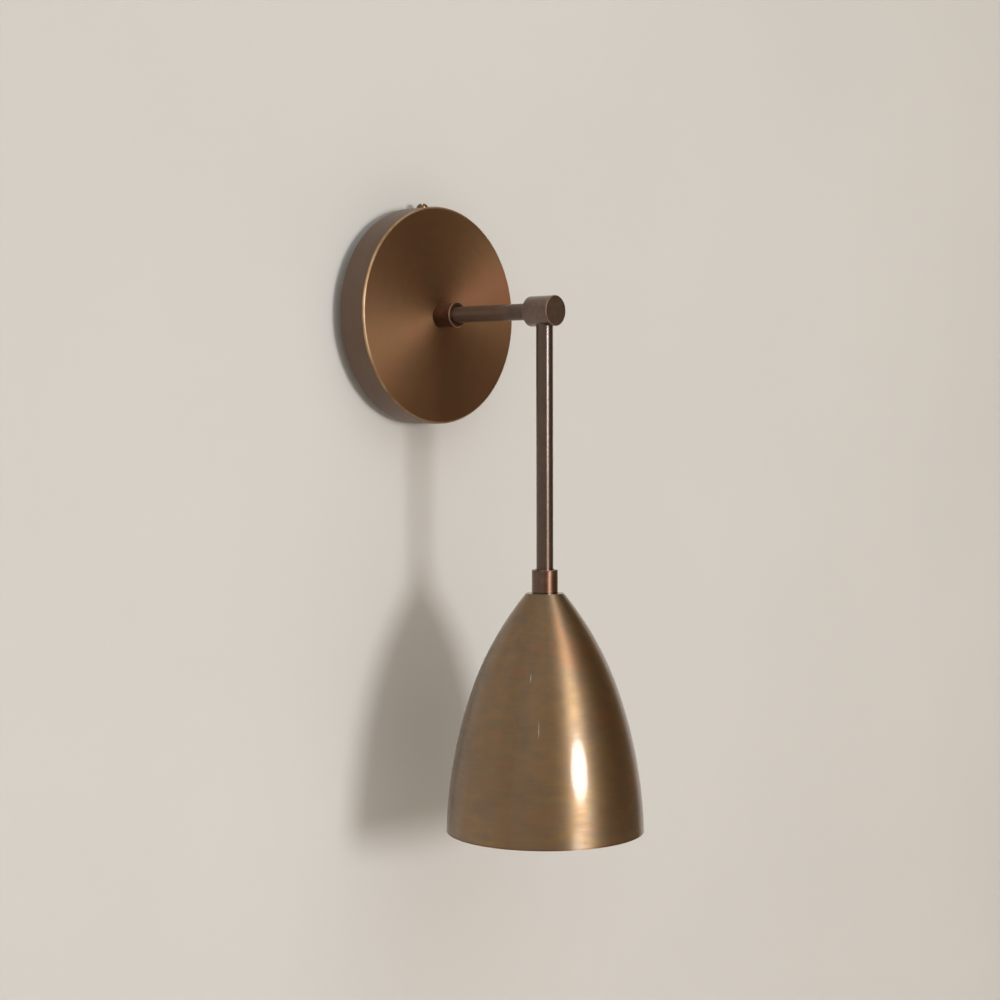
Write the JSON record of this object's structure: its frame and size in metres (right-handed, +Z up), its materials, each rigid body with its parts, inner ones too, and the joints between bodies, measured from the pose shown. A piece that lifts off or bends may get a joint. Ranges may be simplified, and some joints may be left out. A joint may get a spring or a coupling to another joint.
{
  "type": "hanging pendant wall sconce",
  "caption": "Round wall cup with a straight arm, a turned knuckle and a drop rod that holds an ogive metal bell shade open at the bottom, with a screw lampholder and bulb inside.",
  "frame": {"origin": "centre of the wall bracket's back, on the wall, in line with the arm", "axes": "+Y into the wall, +Z up, X along the wall; the light reaches out towards -Y"},
  "size_m": [0.127, 0.1615, 0.3596],
  "materials": {
    "canopy_brass": "brushed, dark antique lacquer",
    "tube_brass": "satin, dark bronze patina",
    "knuckle_brass": "satin, dark bronze patina",
    "collar_brass": "turned, reddish bronze patina, worn bright at the edge",
    "shade_brass": "spun, mottled antique lacquer",
    "screw_bronze": "dark bronze",
    "zinc_steel": "zinc plated",
    "holder_brass": "satin brass",
    "contact_brass": "bare brass",
    "porcelain": "white glaze",
    "nylon": "moulded white nylon",
    "live_insulation": "brown wire insulation",
    "neutral_insulation": "blue wire insulation",
    "opal_glass": "opal white, satin",
    "black_glass": "black glass",
    "clear_glass": "clear",
    "bulb_nickel": "nickel-plated brass",
    "solder": "solder, satin",
    "filament": "yellow phosphor strip"
  },
  "bodies": {
    "wall_side": {"wall_bracket": "zinc_steel", "bracket_pin": "zinc_steel", "canopy": "canopy_brass", "canopy_set_screw": "screw_bronze", "canopy_collar": "collar_brass", "canopy_washer": "zinc_steel", "canopy_nut": "zinc_steel", "arm_tube": "tube_brass", "terminal_block": "nylon", "terminal_block_tubes": "contact_brass", "terminal_block_screws": "contact_brass", "terminal_block_fixing": "zinc_steel", "earth_screw": "zinc_steel", "earth_washer": "zinc_steel", "arm_live_wire": "live_insulation", "arm_neutral_wire": "neutral_insulation"},
    "drop": {"knuckle": "knuckle_brass", "drop_rod": "tube_brass", "shade_collar": "collar_brass", "shade": "shade_brass", "shade_washer": "zinc_steel", "shade_nut": "zinc_steel", "lampholder_cap": "holder_brass", "lampholder_body": "holder_brass", "lampholder_insulator": "porcelain", "lampholder_screw_shell": "contact_brass", "lampholder_centre_contact": "contact_brass", "lampholder_terminals": "contact_brass", "lampholder_terminal_screws": "contact_brass", "drop_live_wire": "live_insulation", "drop_neutral_wire": "neutral_insulation"},
    "bulb_thread": {"bulb_contact": "solder"},
    "bulb": {"bulb_glass": "opal_glass", "bulb_cap": "bulb_nickel", "bulb_insulator": "black_glass", "bulb_stem": "clear_glass", "bulb_filaments": "filament"}
  },
  "joints": [
    {"name": "drop_swivel", "type": "hinge", "parent": "wall_side", "child": "drop", "pos_m": [0, -0.0996, 0], "axis": [0, 1, 0], "range_deg": [-90, 90]},
    {"name": "bulb_travel", "type": "slide", "parent": "drop", "child": "bulb_thread", "axis": [0, 0, -1], "range_m": [0, 0.01816]},
    {"name": "bulb_turn", "type": "hinge", "parent": "bulb_thread", "child": "bulb", "pos_m": [0, -0.1055, -0.21], "axis": [0, 0, -1], "range_deg": [0, 1800]}
  ],
  "couplings": [
    {"joint": "bulb_travel", "follows": "bulb_turn", "m_per_rad": 0.00057758}
  ]
}
